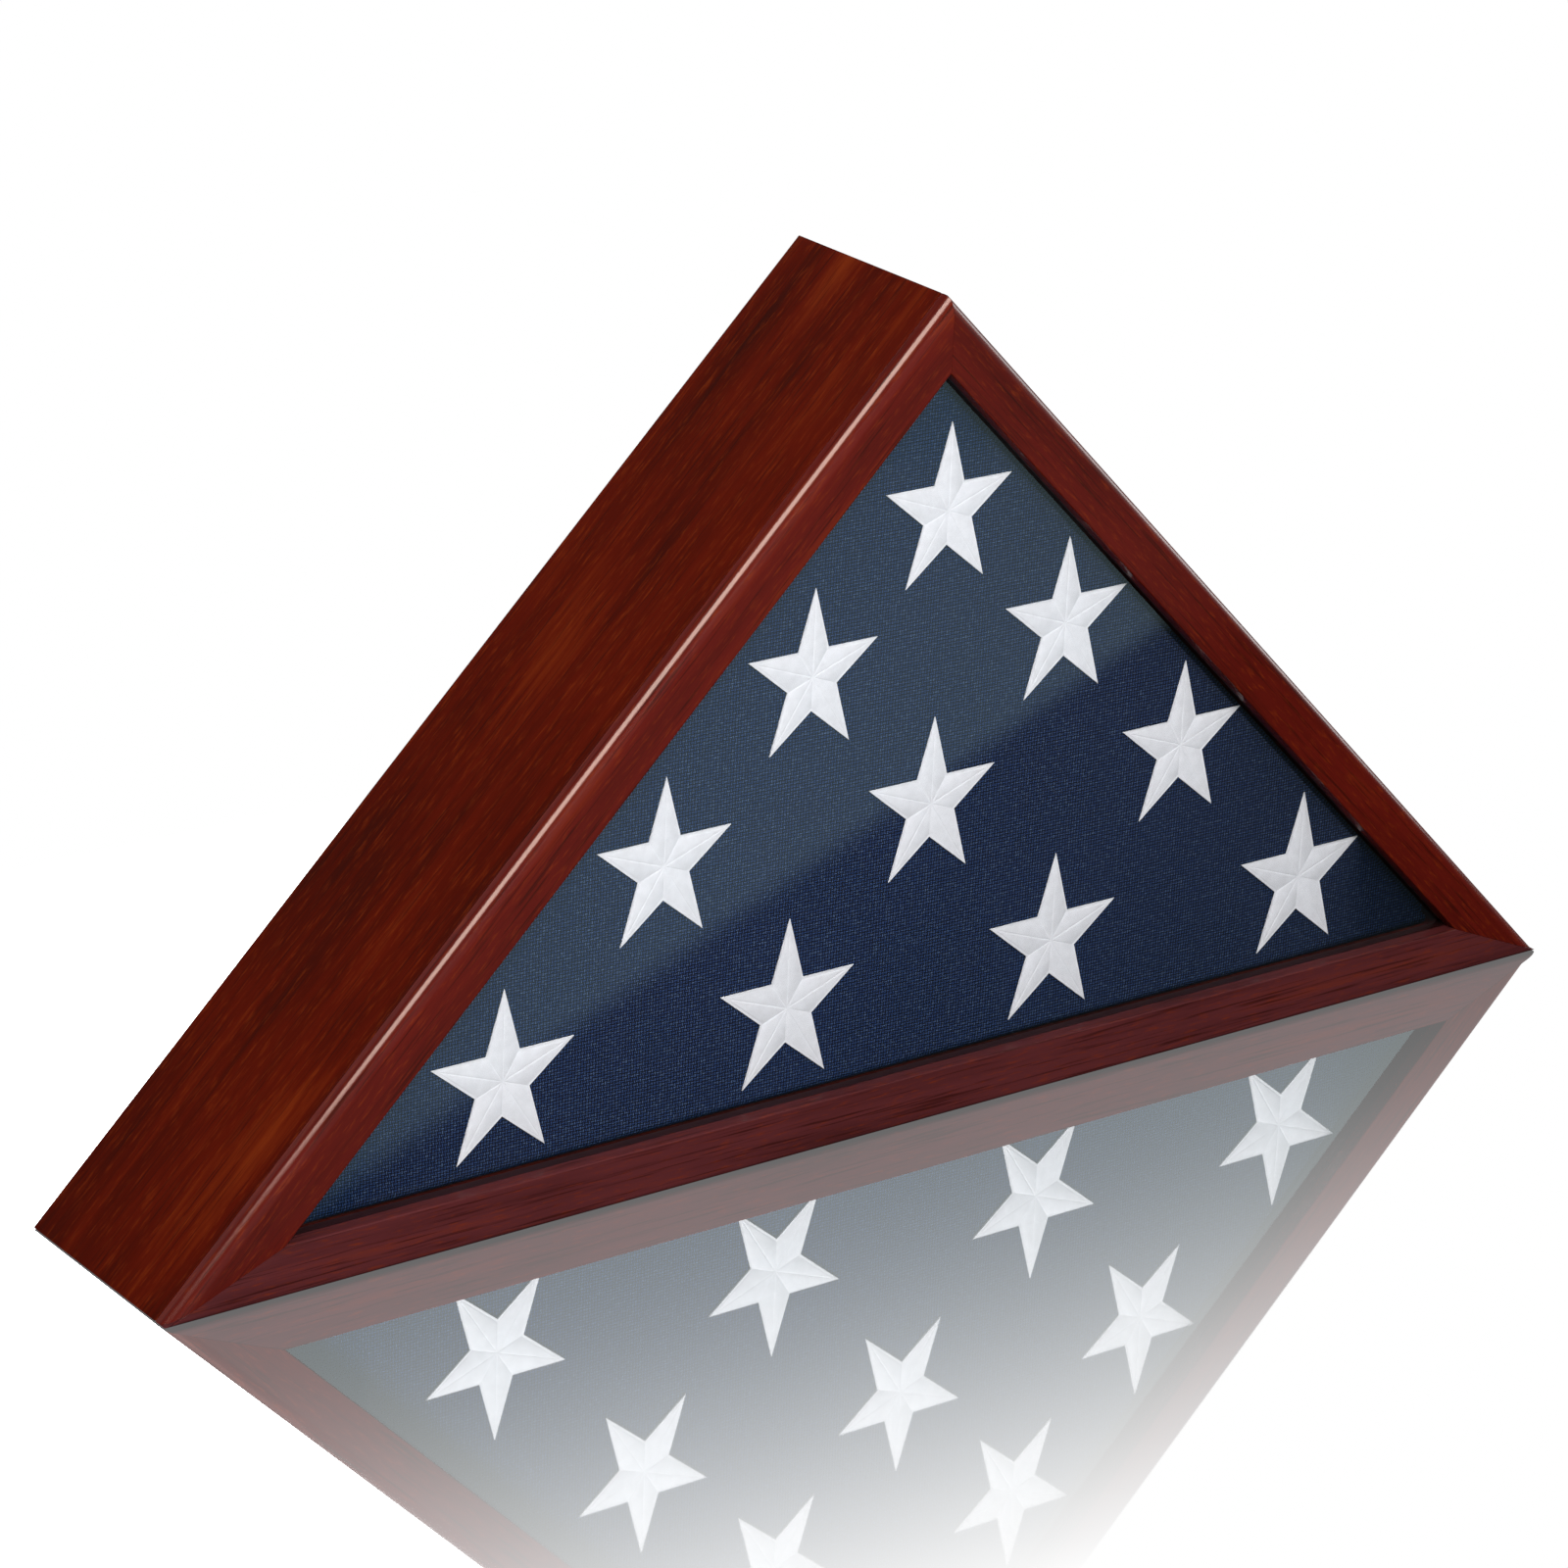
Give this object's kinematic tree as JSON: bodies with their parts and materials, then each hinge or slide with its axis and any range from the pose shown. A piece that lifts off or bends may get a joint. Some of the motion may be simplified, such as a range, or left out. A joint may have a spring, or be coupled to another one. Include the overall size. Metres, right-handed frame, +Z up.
{
  "type": "folded flag display case",
  "caption": "Triangular wooden shadow box with a glass front, a lift-out back on turn buttons, and a folded starred flag inside.",
  "frame": {"origin": "middle of the underside of the base board, halfway through the depth of the box", "axes": "+X to the viewer's right along the base, +Y from the glass to the back panel, +Z up to the apex; the glazed front faces -Y"},
  "size_m": [0.6474, 0.0991, 0.3239],
  "materials": {
    "mahogany": "satin",
    "glass": "gloss",
    "dark_stain": "matte",
    "board": "matte",
    "navy_cotton": "matte",
    "white_thread": "satin",
    "brassed_steel": "satin",
    "zinc_steel": "satin"
  },
  "bodies": {
    "case": {"base_board": "mahogany", "side_board_left": "mahogany", "side_board_right": "mahogany", "face_rail_base": "mahogany", "face_rail_left": "mahogany", "face_rail_right": "mahogany", "glass_pane": "glass", "glass_stop_base": "dark_stain", "glass_stop_left": "dark_stain", "glass_stop_right": "dark_stain", "folded_flag": "navy_cotton", "flag_star_1_1": "white_thread", "flag_star_2_1": "white_thread", "flag_star_2_2": "white_thread", "flag_star_3_1": "white_thread", "flag_star_3_2": "white_thread", "flag_star_3_3": "white_thread", "flag_star_4_1": "white_thread", "flag_star_4_2": "white_thread", "flag_star_4_3": "white_thread", "flag_star_4_4": "white_thread", "button_screw_base_1": "brassed_steel", "button_screw_base_2": "brassed_steel", "button_screw_left_1": "brassed_steel", "button_screw_left_2": "brassed_steel", "button_screw_right_1": "brassed_steel", "button_screw_right_2": "brassed_steel", "hanger_strap_left": "zinc_steel", "hanger_screw_left": "zinc_steel", "hanger_strap_right": "zinc_steel", "hanger_screw_right": "zinc_steel", "corner_nail_apex": "zinc_steel", "corner_nail_left": "zinc_steel", "corner_nail_right": "zinc_steel"},
    "back": {"back_panel": "board"},
    "button_base_1": {"turn_button_base_1": "brassed_steel"},
    "button_base_2": {"turn_button_base_2": "brassed_steel"},
    "button_left_1": {"turn_button_left_1": "brassed_steel"},
    "button_left_2": {"turn_button_left_2": "brassed_steel"},
    "button_right_1": {"turn_button_right_1": "brassed_steel"},
    "button_right_2": {"turn_button_right_2": "brassed_steel"},
    "ring_left": {"hanger_ring_left": "zinc_steel"},
    "ring_right": {"hanger_ring_right": "zinc_steel"}
  },
  "joints": [
    {"name": "back_panel_lift_out", "type": "slide", "parent": "case", "child": "back", "axis": [0, 1, 0], "range_m": [0, 0.12]},
    {"name": "turn_base_1", "type": "hinge", "parent": "case", "child": "button_base_1", "pos_m": [-0.162, 0.0478, 0.0058], "axis": [0, -1, 0], "range_deg": [0, 90]},
    {"name": "turn_base_2", "type": "hinge", "parent": "case", "child": "button_base_2", "pos_m": [0.162, 0.0478, 0.0058], "axis": [0, 1, 0], "range_deg": [0, 90]},
    {"name": "turn_left_1", "type": "hinge", "parent": "case", "child": "button_left_1", "pos_m": [-0.24862, 0.0478, 0.06718], "axis": [0, 1, 0], "range_deg": [0, 90]},
    {"name": "turn_left_2", "type": "hinge", "parent": "case", "child": "button_left_2", "pos_m": [-0.11902, 0.0478, 0.19678], "axis": [0, 1, 0], "range_deg": [0, 90]},
    {"name": "turn_right_1", "type": "hinge", "parent": "case", "child": "button_right_1", "pos_m": [0.24862, 0.0478, 0.06718], "axis": [0, -1, 0], "range_deg": [0, 90]},
    {"name": "turn_right_2", "type": "hinge", "parent": "case", "child": "button_right_2", "pos_m": [0.11902, 0.0478, 0.19678], "axis": [0, -1, 0], "range_deg": [0, 90]},
    {"name": "ring_left_swing", "type": "hinge", "parent": "case", "child": "ring_left", "pos_m": [-0.06042, 0.0497, 0.25482], "axis": [0.7071, 0, -0.7071], "range_deg": [0, 175]},
    {"name": "ring_right_swing", "type": "hinge", "parent": "case", "child": "ring_right", "pos_m": [0.06042, 0.0497, 0.25482], "axis": [0.7071, 0, 0.7071], "range_deg": [0, 175]}
  ]
}
